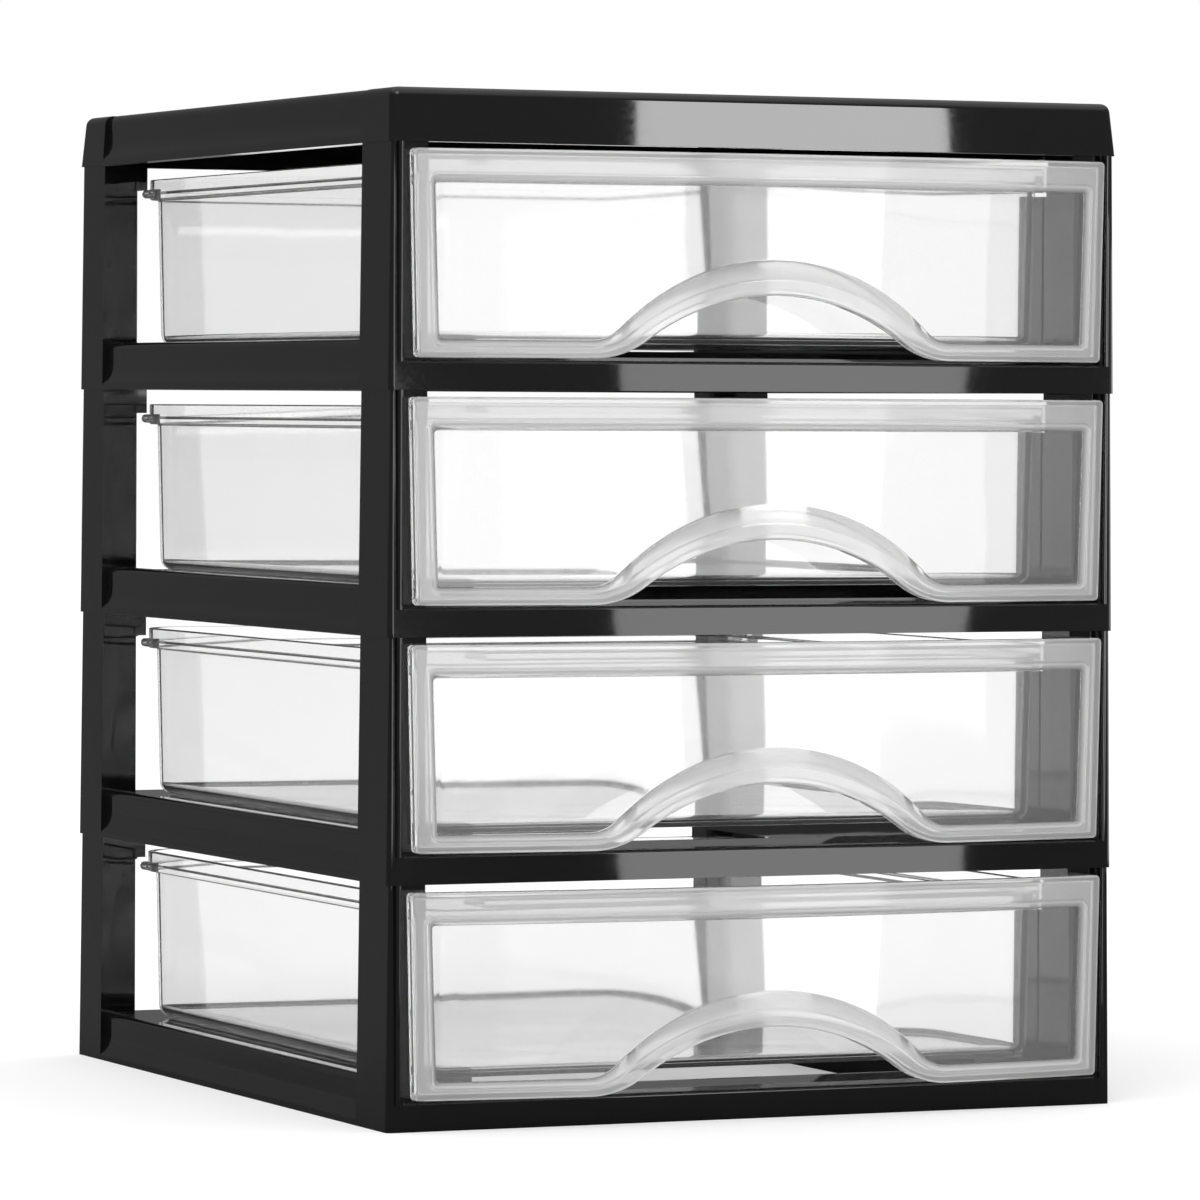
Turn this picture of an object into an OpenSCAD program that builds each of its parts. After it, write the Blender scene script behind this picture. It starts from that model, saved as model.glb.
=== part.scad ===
// Desktop mini drawers: four stacked tier frames, a top cover and four clear drawers.
// The origin is at the middle of the footprint, on the surface it stands on. The front faces -Y.

/* [Whole unit] */
// Width over the skirts of the tiers
body_w = 180; // [150:1:260]
// Depth over the skirts, without the drawer fronts
body_d = 200; // [160:1:280]
// Height of one tier
tier_h = 54.5; // [48:0.5:80]
// Height of the top cover
cover_h = 12; // [9:0.5:20]
// How far each outer face leans in over its height
lean = 0.6; // [0.2:0.1:1]
// Radius of the upright corners at the foot of a tier
corner_r = 1.2; // [1.2:0.1:4]
// Radius of the top edges of the cover
cover_edge_r = 2.2; // [1:0.1:3]
// Wall of the black mouldings
frame_wall = 1.8; // [1.4:0.1:2.2]

/* [Rails of a tier] */
// Height of the front rail
front_rail_h = 6.7; // [5.5:0.1:9]
// Rounding of the front rail's upper edge
front_rail_r = 1.2; // [0.4:0.1:1.6]
// Height of the rib along the back of the front rail
rail_rib_h = 0.8; // [0.4:0.1:1.5]
// Height of the side rails
side_rail_h = 11.3; // [9.5:0.1:16]
// Width of the side channels that carry a drawer
side_channel_w = 27; // [20:0.5:40]
// Rounding of a side rail's upper edge
side_rail_r = 1.5; // [0.6:0.1:1.7]
// How far the ledge lies below the top of the side rail
ledge_drop = 1; // [0.5:0.1:2]
// Depth of the back rail
back_rail_d = 14; // [9:0.5:24]
// How far a side face is set back between the posts
side_recess = 1.5; // [0.6:0.1:2]
// Height over which a set-back side face flares out to the foot
flare_h = 5; // [3:0.1:6]
// Height of the flush foot under the flare
foot_h = 1.2; // [0.5:0.1:2]

/* [Posts of a tier] */
// Width of a front post
front_post_w = 10; // [8:0.5:14]
// Depth of a front post
front_post_d = 18; // [14:0.5:26]
// Width of the round ridge on the front of a front post
ridge_w = 3.9; // [3:0.1:5]
// How far the post lies back beside the ridge
post_setback = 2.5; // [2.2:0.1:3.5]
// Width of a rear post's back leg
rear_post_w = 14; // [11:0.5:20]
// Depth of a rear post's side leg
rear_post_d = 16; // [13:0.5:24]
// Height of the closed block at the top of a post
post_block_h = 5.7; // [4:0.1:8]
// Height of the plugs that hold the tier above
plug_h = 4.4; // [3:0.1:4.6]
// Gap round a plug
plug_gap = 0.3; // [0.2:0.05:0.5]
// Height of the notch in a front post that stops the drawer
notch_h = 9.4; // [7:0.1:12]
// Depth of that notch
notch_d = 2; // [1:0.1:3]

/* [Drawer front] */
// How far the front stands proud of the frame at its sides
front_proud = 3; // [2:0.1:5]
// How much further the middle of the front bows forward
front_bulge = 6.5; // [2:0.5:9]
// Depth of the front's turned-back edges
front_return = 3; // [2.4:0.1:5.2]
// Gap between the front and the tier above
front_gap_top = 1.5; // [0.8:0.1:3]
// Gap between the front and its own front rail
front_gap_bottom = 0.4; // [0.3:0.1:1]
// Bare post left beside the front, at its top
front_margin = 4.4; // [3.5:0.1:8]
// How much narrower each side of the front is at its foot
front_taper = 1; // [0:0.1:2]
// Corner radius of the front
front_corner_r = 0.9; // [0.8:0.1:3]
// Width of the raised border at the sides
border_side = 4.3; // [3.4:0.1:8]
// Width of the raised border at the top
border_top = 6.6; // [4:0.1:10]
// Width of the raised border at the foot
border_foot = 4.4; // [3.4:0.1:8]
// How far the window lies behind the border
window_recess = 2; // [1:0.1:2.4]
// Corner radius of the window
window_r = 0.8; // [0.5:0.1:4]

/* [Finger pull] */
// Width of the arched opening at its foot
pull_w = 88; // [80:1:110]
// Height of the arched opening
pull_h = 14.3; // [10:0.1:16]
// Radius of the opening's crown
pull_crown_r = 54; // [40:1:60]
// Width of the raised lip's outline at its foot
lip_w = 88; // [80:1:110]
// Height of the lip's outline over the border
lip_h = 13.9; // [11:0.1:17]
// Radius of the lip's crown
lip_crown_r = 58; // [40:1:60]

/* [Drawer tub] */
// Wall of the clear mouldings
tub_wall = 1.6; // [1.2:0.1:2]
// Gap between the rim and the front posts
rim_gap = 0.5; // [0.3:0.1:1]
// How far the rim stands out from the walls
rim_out = 2; // [1.7:0.1:3]
// Height of the rim
rim_h = 4.9; // [3.5:0.1:7]
// Space between the rim and the tier above
rim_clearance = 3.5; // [2:0.1:6]
// Running gap between the tub and the ledges
run_gap = 0.3; // [0.2:0.05:0.6]
// Space between the front panel's sides and the tub, for the fingers
finger_room = 9.4; // [7:0.1:14]
// Space between the rim and the back of the frame
tub_rear_gap = 10; // [6:0.5:20]
// How much each wall of the tub leans in towards the floor
tub_lean = 0.8; // [0.2:0.1:2]
// Plan radius of the tub's corners
tub_corner_r = 9; // [5:0.5:14]
// Radius between the tub's walls and floor
tub_floor_r = 3; // [2:0.1:4]
// Length of a stop lug
lug_l = 8; // [5:0.5:12]
// Height of a stop lug
lug_h = 2.2; // [1.6:0.1:3]
// Height of a stop lug over the underside of the rim
lug_up = 0.3; // [0.2:0.1:1]
// How far a stop lug stands out from the rim
lug_out = 1.9; // [1.4:0.1:2.4]
// Distance from a stop lug to the back of the rim
lug_back = 8; // [6:0.5:16]

/* [Hidden] */
tiers = 4;
$fn = 96;
shell_fn = 32;
// Straight steps in each arc of the finger pull
bell_steps = 16;
// Straight steps in a corner of the front
corner_steps = 6;
// Thickness of the flat ends in a blended form
skin = 0.1;
// How far the walls of one moulding reach into each other
lap = 0.2;
over = 1;
// Least radius of the front's inner corners
least_r = 0.4;
front_y = (front_proud + front_bulge - body_d) / 2;
half_w = body_w / 2;
ledge_z = side_rail_h - ledge_drop;
// The front, measured from the base of its tier
front_z0 = front_rail_h + front_gap_bottom;
front_h = tier_h - front_gap_top - front_z0;
front_half_top = half_w - front_margin;
front_half_foot = front_half_top - front_taper;
front_angle = atan(front_taper / front_h);
// The bow of the front: its radius in plan, and its axis behind the front plane of the frame
bow_fn = 720;
bow_r = (front_half_top * front_half_top + front_bulge * front_bulge) / (2 * front_bulge);
bow_y = bow_r - front_proud - front_bulge;
// The tub, measured from the base of its tier and the front plane of the frame
tub_z0 = ledge_z + run_gap;
rim_z1 = tier_h - rim_clearance;
rim_z0 = rim_z1 - rim_h;
rim_half = half_w - front_post_w - rim_gap;
tub_half = rim_half - rim_out;
window_back = window_recess + tub_wall - front_proud;
tub_y0 = window_back + finger_room;
rim_y0 = tub_y0 - rim_out;
rim_y1 = body_d - frame_wall - tub_rear_gap;
tub_y1 = rim_y1 - rim_out;
black = [0.09, 0.09, 0.095];
clear = [0.85, 0.88, 0.9, 0.45];

// Carries a profile drawn in X and Z along Y from y0 to y1.
module along_y(y0, y1) {
    translate([0, y1, 0])
        rotate([90, 0, 0])
            linear_extrude(y1 - y0)
                children();
}

// Carries a profile drawn in Y and Z along X from x0 to x1.
module along_x(x0, x1) {
    translate([x0, 0, 0])
        rotate([90, 0, 90])
            linear_extrude(x1 - x0)
                children();
}

// Repeats a shape on both sides of the middle.
module both_sides() {
    children();
    mirror([1, 0, 0])
        children();
}

module box(x0, x1, y0, y1, z0, z1) {
    translate([x0, y0, z0])
        cube([x1 - x0, y1 - y0, z1 - z0]);
}

// The outer form of a tier: all four faces lean in alike, with round upright corners.
module leaning_block(h) {
    r = corner_r;
    x = half_w - r;
    along_y(r, body_d - r)
        polygon([[-half_w, 0], [half_w, 0], [half_w - lean, h], [lean - half_w, h]]);
    along_x(-x, x)
        polygon([[0, 0], [body_d, 0], [body_d - lean, h], [lean, h]]);
    for (side = [-1, 1], y = [r, body_d - r])
        translate([side * x, y, 0])
            cylinder(h = h, r1 = r, r2 = r - lean);
}

// The outer form of the cover: leaning sides, round top edges and ball corners.
module cover_form() {
    inset = lean + cover_edge_r;
    hull()
        for (side = [-1, 1], back = [0, 1]) {
            translate([side * (half_w - corner_r), back ? body_d - corner_r : corner_r, 0])
                cylinder(h = skin, r = corner_r, $fn = shell_fn);
            translate([side * (half_w - inset), back ? body_d - inset : inset, cover_h - cover_edge_r]) {
                sphere(r = cover_edge_r, $fn = shell_fn);
                cylinder(h = cover_edge_r, r = skin, $fn = shell_fn);
            }
        }
}

// What a side face loses between the posts. The face stands back under a round top edge at
// height "top", and flares out in a hollow curve until it is flush at the foot.
module side_face_waste(top, edge_r) {
    flare_r = (side_recess * side_recess + flare_h * flare_h) / (2 * side_recess);
    face_x = side_recess - half_w;
    flare_z = foot_h + flare_h;
    along_y(front_post_d, body_d - rear_post_d) {
        difference() {
            translate([-half_w - over, flare_z])
                square([side_recess + edge_r + over, top + over - flare_z]);
            translate([face_x, 0])
                square([edge_r + over, top - edge_r]);
            translate([face_x + edge_r, top - edge_r])
                circle(r = edge_r);
        }
        intersection() {
            translate([face_x - flare_r, flare_z])
                circle(r = flare_r, $fn = 180);
            translate([-half_w - over, 0])
                square([side_recess + over, flare_z + lap]);
        }
    }
}

// The solid mass of a tier before its hollows are cut: four rails and four posts.
module tier_mass() {
    box(-half_w, half_w, 0, front_post_d, 0, front_rail_h);
    box(-half_w, half_w, body_d - back_rail_d, body_d, 0, ledge_z);
    both_sides() {
        box(-half_w, side_recess + 2 * frame_wall - half_w, 0, body_d, 0, side_rail_h);
        box(-half_w, side_channel_w - half_w, front_post_d - frame_wall, body_d, 0, ledge_z);
        box(-half_w, front_post_w - half_w, 0, front_post_d, 0, tier_h);
        box(-half_w, frame_wall + lean - half_w, body_d - rear_post_d, body_d, 0, tier_h);
        box(-half_w, rear_post_w - half_w, body_d - frame_wall - lean, body_d, 0, tier_h);
        rear_block();
    }
    rail_rib();
}

// The closed top of a rear post, kept clear of the drawer's rim.
module rear_block() {
    z0 = tier_h - post_block_h;
    side_x = front_post_w - rim_gap - half_w;
    box(-half_w, side_x, body_d - rear_post_d, body_d, z0, tier_h);
    box(-half_w, rear_post_w - half_w, body_d - tub_rear_gap + rim_gap, body_d, z0, tier_h);
}

// The rib along the back of the front rail.
module rail_rib() {
    half = half_w - front_post_w;
    box(-half, half, front_post_d - frame_wall, front_post_d, front_rail_h - over, front_rail_h + rail_rib_h);
}

// The hollows under the rails and inside the front posts, all open at the foot.
module tier_hollows() {
    w = frame_wall + lean;
    box(w - half_w, half_w - w, w, front_post_d - frame_wall, -over, front_rail_h - frame_wall);
    box(w - half_w, half_w - w, body_d - back_rail_d + frame_wall, body_d - w, -over, ledge_z - frame_wall);
    both_sides() {
        box(w + side_recess - half_w, side_channel_w - frame_wall - half_w,
            front_post_d, body_d - rear_post_d, -over, ledge_z - frame_wall);
        box(w - half_w, side_channel_w - frame_wall - half_w,
            body_d - rear_post_d, body_d - back_rail_d, -over, ledge_z - frame_wall);
        box(w - half_w, front_post_w - frame_wall - half_w,
            post_setback + frame_wall, front_post_d - frame_wall, -over, tier_h - post_block_h);
    }
}

// The front of a front post beside its ridge, where the drawer front sits.
module post_front_waste() {
    ridge_r = ridge_w / 2;
    box(ridge_w - half_w, front_post_w + over - half_w, -over, post_setback, front_rail_h, tier_h + over);
    // The ridge's inner edge is round.
    translate([ridge_w - ridge_r - half_w, 0, front_rail_h])
        difference() {
            box(0, ridge_r + over, -over, ridge_r, 0, tier_h);
            translate([0, ridge_r, -over])
                cylinder(h = tier_h + 3 * over, r = ridge_r);
        }
}

// The notch at the top of a front post's back edge, which catches the drawer's lug.
module post_notch() {
    box(front_post_w - frame_wall - half_w, front_post_w + over - half_w,
        front_post_d - notch_d, front_post_d + over, tier_h - notch_h, tier_h + over);
}

// What rounds the upper edge of the front rail.
module rail_edge_waste() {
    half = half_w - ridge_w;
    along_x(-half, half)
        difference() {
            translate([-over, front_rail_h - front_rail_r])
                square([front_rail_r + over, front_rail_r + over]);
            translate([front_rail_r, front_rail_h - front_rail_r])
                circle(r = front_rail_r);
        }
}

// The plugs on top of the posts, which sit in the hollows of the moulding above.
module plugs() {
    inset = frame_wall + lean + plug_gap;
    z1 = tier_h + plug_h;
    both_sides() {
        box(inset - half_w, front_post_w - frame_wall - plug_gap - half_w,
            post_setback + frame_wall + plug_gap, front_post_d - frame_wall - plug_gap,
            tier_h - over, z1);
        box(inset - half_w, front_post_w - frame_wall - plug_gap - half_w,
            body_d - back_rail_d + frame_wall + plug_gap, body_d - inset, tier_h - over, z1);
    }
}

// One black tier: a ring of open channels with four posts.
module tier_frame(index) {
    color(black)
        translate([0, front_y, (tiers - index) * tier_h]) {
            difference() {
                intersection() {
                    leaning_block(tier_h);
                    tier_mass();
                }
                tier_hollows();
                rail_edge_waste();
                both_sides() {
                    side_face_waste(side_rail_h, side_rail_r);
                    post_front_waste();
                    post_notch();
                }
            }
            plugs();
        }
}

// The black lid: a closed top over a skirt, with ribs that take the posts' plugs.
module top_cover() {
    w = frame_wall + lean;
    roof = cover_h - frame_wall;
    rib_x = front_post_w - frame_wall - half_w;
    color(black)
        translate([0, front_y, tiers * tier_h]) {
            difference() {
                cover_form();
                box(w + side_recess - half_w, half_w - w - side_recess, w, body_d - w, -over, roof);
                both_sides() {
                    box(w - half_w, w + side_recess + over - half_w, w, front_post_d, -over, roof);
                    box(w - half_w, w + side_recess + over - half_w,
                        body_d - rear_post_d, body_d - w, -over, roof);
                    side_face_waste(cover_h, cover_edge_r);
                }
            }
            both_sides() {
                box(rib_x, rib_x + frame_wall, w - lap, front_post_d, 0, roof + lap);
                box(w - lap - half_w, rib_x + frame_wall, front_post_d - frame_wall, front_post_d, 0, roof + lap);
            }
        }
}

// The points of a bell curve over the X axis, from left to right: a hollow arc at each foot runs
// smoothly into the round crown. "grow" moves the curve outwards and keeps the arcs' centres.
function bell_curve(half, rise, crown_r, grow) =
    let (
        foot_r = (half * half + rise * rise) / (2 * rise) - crown_r,
        turn = asin(half / (foot_r + crown_r)),
        left = [
            for (i = [0:bell_steps])
                let (a = turn * i / bell_steps)
                    [(foot_r - grow) * sin(a) - half, foot_r - (foot_r - grow) * cos(a)]
        ],
        crown = [
            for (i = [1:2 * bell_steps - 1])
                let (a = turn * (i / bell_steps - 1))
                    [(crown_r + grow) * sin(a), rise - crown_r + (crown_r + grow) * cos(a)]
        ]
    )
    concat(left, crown, [for (i = [bell_steps:-1:0]) [-left[i].x, left[i].y]]);

// The space under a bell curve, drawn on past its foot.
module bell(half, rise, crown_r, grow = 0) {
    base = -over - abs(grow);
    polygon(concat([[-half, base]], bell_curve(half, rise, crown_r, grow), [[half, base]]));
}

// The points of a round corner about a centre, from one angle to another.
function corner_arc(x, z, r, a0, a1) = [
    for (i = [0:corner_steps])
        let (a = a0 + (a1 - a0) * i / corner_steps)
            [x + r * cos(a), z + r * sin(a)]
];

// The outline of the drawer front, with its foot on the X axis: wider at the top, with round corners.
module front_outline(inset = 0) {
    r = max(front_corner_r - inset, least_r);
    z0 = inset + r;
    z1 = front_h - inset - r;
    reach = (inset + r) / cos(front_angle);
    right = concat(
        corner_arc(front_half_foot + z0 * tan(front_angle) - reach, z0, r, -90, -front_angle),
        corner_arc(front_half_foot + z1 * tan(front_angle) - reach, z1, r, -front_angle, 90)
    );
    polygon(concat(right, [for (i = [len(right) - 1:-1:0]) [-right[i].x, right[i].y]]));
}

// The outline of the window, less the lip of the pull. "grow" widens it on all sides.
module window_outline(grow = 0) {
    x = front_half_foot - border_side + grow;
    z0 = border_foot - grow;
    z1 = front_h - border_top + grow;
    r = window_r + grow;
    difference() {
        union() {
            translate([-x + r, z0])
                square([2 * x - 2 * r, z1 - z0]);
            translate([-x, z0 + r])
                square([2 * x, z1 - z0 - 2 * r]);
            for (cx = [r - x, x - r], cz = [z0 + r, z1 - r])
                translate([cx, cz])
                    circle(r = r);
        }
        translate([0, border_foot])
            bell(lip_w / 2, lip_h, lip_crown_r, -grow);
    }
}

// The upright round block that the bowed front is cut from, at a depth behind its face.
module bow_block(depth, z0, z1) {
    translate([0, bow_y, z0])
        cylinder(h = z1 - z0, r = bow_r - depth, $fn = bow_fn);
}

// Gives an outline the bow of the front, between two depths behind its face.
module bowed(depth0, depth1) {
    difference() {
        intersection() {
            along_y(-front_proud - front_bulge - over, depth1)
                children();
            bow_block(depth0, -over, front_h + over);
        }
        bow_block(depth1, -2 * over, front_h + 2 * over);
    }
}

// The front panel: a raised border round a clear window, turned back at its edges, with the
// arched opening of the finger pull cut through its foot.
module drawer_front() {
    pane_back = window_recess + tub_wall;
    translate([0, 0, front_z0])
        difference() {
            union() {
                bowed(0, tub_wall)
                    difference() {
                        front_outline();
                        window_outline();
                    }
                bowed(lap, front_return)
                    difference() {
                        front_outline();
                        difference() {
                            front_outline(tub_wall);
                            bell(pull_w / 2, pull_h, pull_crown_r, tub_wall);
                        }
                    }
                difference() {
                    bowed(2 * lap, pane_back)
                        window_outline(tub_wall);
                    bowed(0, window_recess)
                        window_outline();
                }
            }
            along_y(-front_proud - front_bulge - over, pane_back + over)
                bell(pull_w / 2, pull_h, pull_crown_r);
        }
}

// The flange along the top that joins the bowed front to the rim of the tub.
module front_flange() {
    intersection() {
        box(-tub_half, tub_half, -front_proud - front_bulge, rim_y0 + lap, rim_z1 - tub_wall, rim_z1);
        bow_block(tub_wall - lap, rim_z1 - tub_wall - over, rim_z1 + over);
    }
}

// A round-cornered tray form that leans in towards a rounded foot.
module tray_form(half, y0, y1, z0, z1, r, foot_r) {
    hull()
        for (x = [-1, 1], y = [0, 1]) {
            translate([x * (half - r), y == 0 ? y0 + r : y1 - r, z1 - skin])
                cylinder(h = skin, r = r, $fn = shell_fn);
            translate([
                x * (half - tub_lean - r),
                y == 0 ? y0 + tub_lean + r : y1 - tub_lean - r,
                z0 + foot_r
            ])
                rotate_extrude($fn = shell_fn)
                    translate([r - foot_r, 0])
                        circle(r = foot_r, $fn = 24);
        }
}

// A flat block with round corners in plan.
module round_slab(half, y0, y1, z0, z1, r) {
    translate([0, 0, z0])
        linear_extrude(z1 - z0) {
            translate([-half, y0 + r])
                square([2 * half, y1 - y0 - 2 * r]);
            translate([r - half, y0])
                square([2 * half - 2 * r, y1 - y0]);
            for (x = [r - half, half - r], y = [y0 + r, y1 - r])
                translate([x, y])
                    circle(r = r);
        }
}

// The tub: leaning walls, a rounded floor, and a rim that steps out round the top.
module tub() {
    w = tub_wall;
    difference() {
        union() {
            tray_form(tub_half, tub_y0, tub_y1, tub_z0, rim_z0 + lap, tub_corner_r, tub_floor_r);
            round_slab(rim_half, rim_y0, rim_y1, rim_z0, rim_z1, tub_corner_r + rim_out);
        }
        tray_form(tub_half - w, tub_y0 + w, tub_y1 - w, tub_z0 + w, rim_z0 + w + lap,
            tub_corner_r - w, tub_floor_r - w);
        round_slab(rim_half - w, rim_y0 + w, rim_y1 - w, rim_z0 + w, rim_z1 + over, tub_corner_r + rim_out - w);
    }
}

// The lug on the rim that catches a front post when the drawer is pulled out.
module stop_lug() {
    r = lug_h / 2;
    along_y(rim_y1 - lug_back - lug_l, rim_y1 - lug_back)
        translate([-rim_half - lug_out + r, rim_z0 + r + lug_up])
            union() {
                circle(r = r);
                translate([0, -r])
                    square([lug_out, lug_h]);
            }
}

// One clear drawer: tub, front panel, flange and stop lugs.
module drawer(index) {
    color(clear)
        translate([0, front_y, (tiers - index) * tier_h]) {
            tub();
            drawer_front();
            front_flange();
            both_sides()
                stop_lug();
        }
}

top_cover();
tier_frame(1);  // tier_frame_1
tier_frame(2);  // tier_frame_2
tier_frame(3);  // tier_frame_3
tier_frame(4);  // tier_frame_4
drawer(1);  // drawer_1
drawer(2);  // drawer_2
drawer(3);  // drawer_3
drawer(4);  // drawer_4
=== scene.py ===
"""Desktop mini drawers: a black stacked frame and four clear drawers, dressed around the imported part.

Sizes are named in millimetres. X and Z are those of the part, and depths are counted from the front
plane of the black frame, backwards. Heights in a drawer are counted from the foot of its own tier.
"""

import logging
import math
from dataclasses import dataclass, field
from enum import Enum

import bmesh
import bpy
import numpy as np
from mathutils import Matrix, Vector


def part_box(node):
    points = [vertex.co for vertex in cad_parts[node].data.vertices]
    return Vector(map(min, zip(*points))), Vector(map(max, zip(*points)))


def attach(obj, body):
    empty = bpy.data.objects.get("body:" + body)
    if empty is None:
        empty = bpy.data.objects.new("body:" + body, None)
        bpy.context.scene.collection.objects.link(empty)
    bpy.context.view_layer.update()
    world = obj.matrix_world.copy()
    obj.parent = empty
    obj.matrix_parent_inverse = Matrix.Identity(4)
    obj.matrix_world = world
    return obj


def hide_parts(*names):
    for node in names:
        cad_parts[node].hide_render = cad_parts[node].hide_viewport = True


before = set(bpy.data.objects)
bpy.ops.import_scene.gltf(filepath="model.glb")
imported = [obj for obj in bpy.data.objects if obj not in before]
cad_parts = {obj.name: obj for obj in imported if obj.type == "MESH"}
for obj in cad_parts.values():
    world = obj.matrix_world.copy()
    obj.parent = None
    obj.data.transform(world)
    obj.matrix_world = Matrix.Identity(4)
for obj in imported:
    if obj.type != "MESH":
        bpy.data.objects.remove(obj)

Pair = tuple[float, float]
Span = tuple[float, float]
Colour = tuple[float, float, float]
Place = tuple[float, float, float]
Term = float | bpy.types.NodeSocket

MM = 0.001
NOISE_SPAN = (0.3, 0.7)
NOISE_ROUGHNESS = 0.55
# Surface mark: real frosted texture, and above 1 a painted highlight on the fronts' edges and ridges.
FROST_AND_HIGHLIGHT = "frost_and_highlight"
# How far a quarter circle of radius 1 lies inside one of its tangents, near to far; from the other
# tangent it is the same numbers, far to near.
QUARTER_TURN = (0.07, 0.29, 0.62)
WHITE = (1.0, 1.0, 1.0, 1.0)
CLEAR_WALLS = 24
BOUNCES = 16
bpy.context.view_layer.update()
log = logging.getLogger("mini_drawers")


class Finish(Enum):
    """The two plastics that the unit is moulded from, by their slots in the part's record."""

    BLACK = "frame_black"
    CLEAR = "drawer_clear"

    @property
    def look(self) -> str:
        """The name of the finish's material in the scene."""
        return f"{self.value}_look"


# ---------------------------------------------------------------------------------------------
# Finishes
# ---------------------------------------------------------------------------------------------


def new_material(name: str) -> tuple[bpy.types.Material, bpy.types.NodeTree]:
    """Makes an empty node material.

    Args:
        name: the material's name.

    Returns:
        The material and its node tree, which holds only an output node.
    """
    material = bpy.data.materials.new(name)
    material.use_nodes = True
    tree = material.node_tree
    tree.nodes.clear()
    tree.nodes.new("ShaderNodeOutputMaterial")
    return material, tree


def set_sockets(node: bpy.types.Node, **values: object) -> None:
    """Sets a node's plain socket values.

    Args:
        node: the node to change.
        values: socket names, with spaces written as underscores, and their values.
    """
    for name, value in values.items():
        node.inputs[name.replace("_", " ")].default_value = value


def object_noise(tree: bpy.types.NodeTree, scale: float, detail: float) -> bpy.types.NodeSocket:
    """Adds a noise texture on Object coordinates.

    Args:
        tree: the node tree to add to.
        scale: noise cells per metre.
        detail: octaves of finer noise.

    Returns:
        The noise, mostly between the two values of NOISE_SPAN.
    """
    where = tree.nodes.new("ShaderNodeTexCoord")
    noise = tree.nodes.new("ShaderNodeTexNoise")
    set_sockets(noise, Scale=scale, Detail=detail, Roughness=NOISE_ROUGHNESS)
    tree.links.new(where.outputs["Object"], noise.inputs["Vector"])
    return noise.outputs["Fac"]


def spread(
    tree: bpy.types.NodeTree, source: bpy.types.NodeSocket, old: Span, new: Span
) -> bpy.types.NodeSocket:
    """Maps one range of values to another.

    Args:
        tree: the node tree to add to.
        source: the value to map.
        old: the lowest and highest value of the source that are told apart.
        new: what these two become.

    Returns:
        The mapped value.
    """
    node = tree.nodes.new("ShaderNodeMapRange")
    set_sockets(node, From_Min=old[0], From_Max=old[1], To_Min=new[0], To_Max=new[1])
    tree.links.new(source, node.inputs["Value"])
    return node.outputs["Result"]


def fill_socket(tree: bpy.types.NodeTree, socket: bpy.types.NodeSocket, term: Term) -> None:
    """Gives a socket a number, or links another node's output to it.

    Args:
        tree: the node tree that the socket is in.
        socket: the socket to fill.
        term: the number or the other node's output.
    """
    if isinstance(term, bpy.types.NodeSocket):
        tree.links.new(term, socket)
    else:
        socket.default_value = term


def calculated(tree: bpy.types.NodeTree, operation: str, *terms: Term) -> bpy.types.NodeSocket:
    """Adds a Math node.

    Args:
        tree: the node tree to add to.
        operation: the node's operation.
        terms: its inputs in order, as numbers or as other nodes' outputs.

    Returns:
        The node's value.
    """
    node = tree.nodes.new("ShaderNodeMath")
    node.operation = operation
    for socket, term in zip(node.inputs, terms):
        fill_socket(tree, socket, term)
    return node.outputs["Value"]


def mixed(
    tree: bpy.types.NodeTree, share: Term, first: bpy.types.NodeSocket, second: bpy.types.NodeSocket
) -> bpy.types.NodeSocket:
    """Mixes two shaders.

    Args:
        tree: the node tree to add to.
        share: how much of the second one shows, as a number or as another node's output.
        first: the shader at a share of 0.
        second: the shader at a share of 1.

    Returns:
        The mixed shader.
    """
    mix = tree.nodes.new("ShaderNodeMixShader")
    fill_socket(tree, mix.inputs["Fac"], share)
    tree.links.new(first, mix.inputs[1])
    tree.links.new(second, mix.inputs[2])
    return mix.outputs["Shader"]


def plain(tree: bpy.types.NodeTree, kind: str, colour: Colour) -> bpy.types.NodeSocket:
    """Adds a diffuse, translucent or transparent shader of one colour.

    Args:
        tree: the node tree to add to.
        kind: the type of its node.
        colour: its colour.

    Returns:
        The shader.
    """
    node = tree.nodes.new(kind)
    set_sockets(node, Color=(*colour, 1.0))
    return node.outputs["BSDF"]


def add_waves(tree: bpy.types.NodeTree, shader: bpy.types.Node, scale: float, depth: float) -> None:
    """Bumps a shader with soft waves on Object coordinates.

    Args:
        tree: the node tree to add to.
        shader: the shader whose normal is bumped.
        scale: waves per metre.
        depth: their depth in metres.
    """
    bump = tree.nodes.new("ShaderNodeBump")
    set_sockets(bump, Strength=1.0, Distance=depth)
    tree.links.new(object_noise(tree, scale, 1.0), bump.inputs["Height"])
    tree.links.new(bump.outputs["Normal"], shader.inputs["Normal"])


@dataclass(frozen=True)
class BlackPlastic:
    """Glossy black moulded plastic with faint sink waves and fine rub marks."""

    colour: Colour = (0.0045, 0.0045, 0.0045)
    ior: float = 1.5
    smooth: float = 0.03
    rubbed: float = 0.05
    wave_scale: float = 26.0
    wave_depth: float = 0.00012
    rub_scale: float = 900.0
    rub_detail: float = 3.0

    def material(self) -> bpy.types.Material:
        """Builds the node material.

        Returns:
            The material.
        """
        material, tree = new_material(Finish.BLACK.look)
        output = tree.nodes["Material Output"]
        shader = tree.nodes.new("ShaderNodeBsdfPrincipled")
        set_sockets(shader, Base_Color=(*self.colour, 1.0), IOR=self.ior)
        rubs = object_noise(tree, self.rub_scale, self.rub_detail)
        rough = spread(tree, rubs, NOISE_SPAN, (self.smooth, self.rubbed))
        tree.links.new(rough, shader.inputs["Roughness"])
        add_waves(tree, shader, self.wave_scale, self.wave_depth)
        tree.links.new(shader.outputs["BSDF"], output.inputs["Surface"])
        return material


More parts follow.
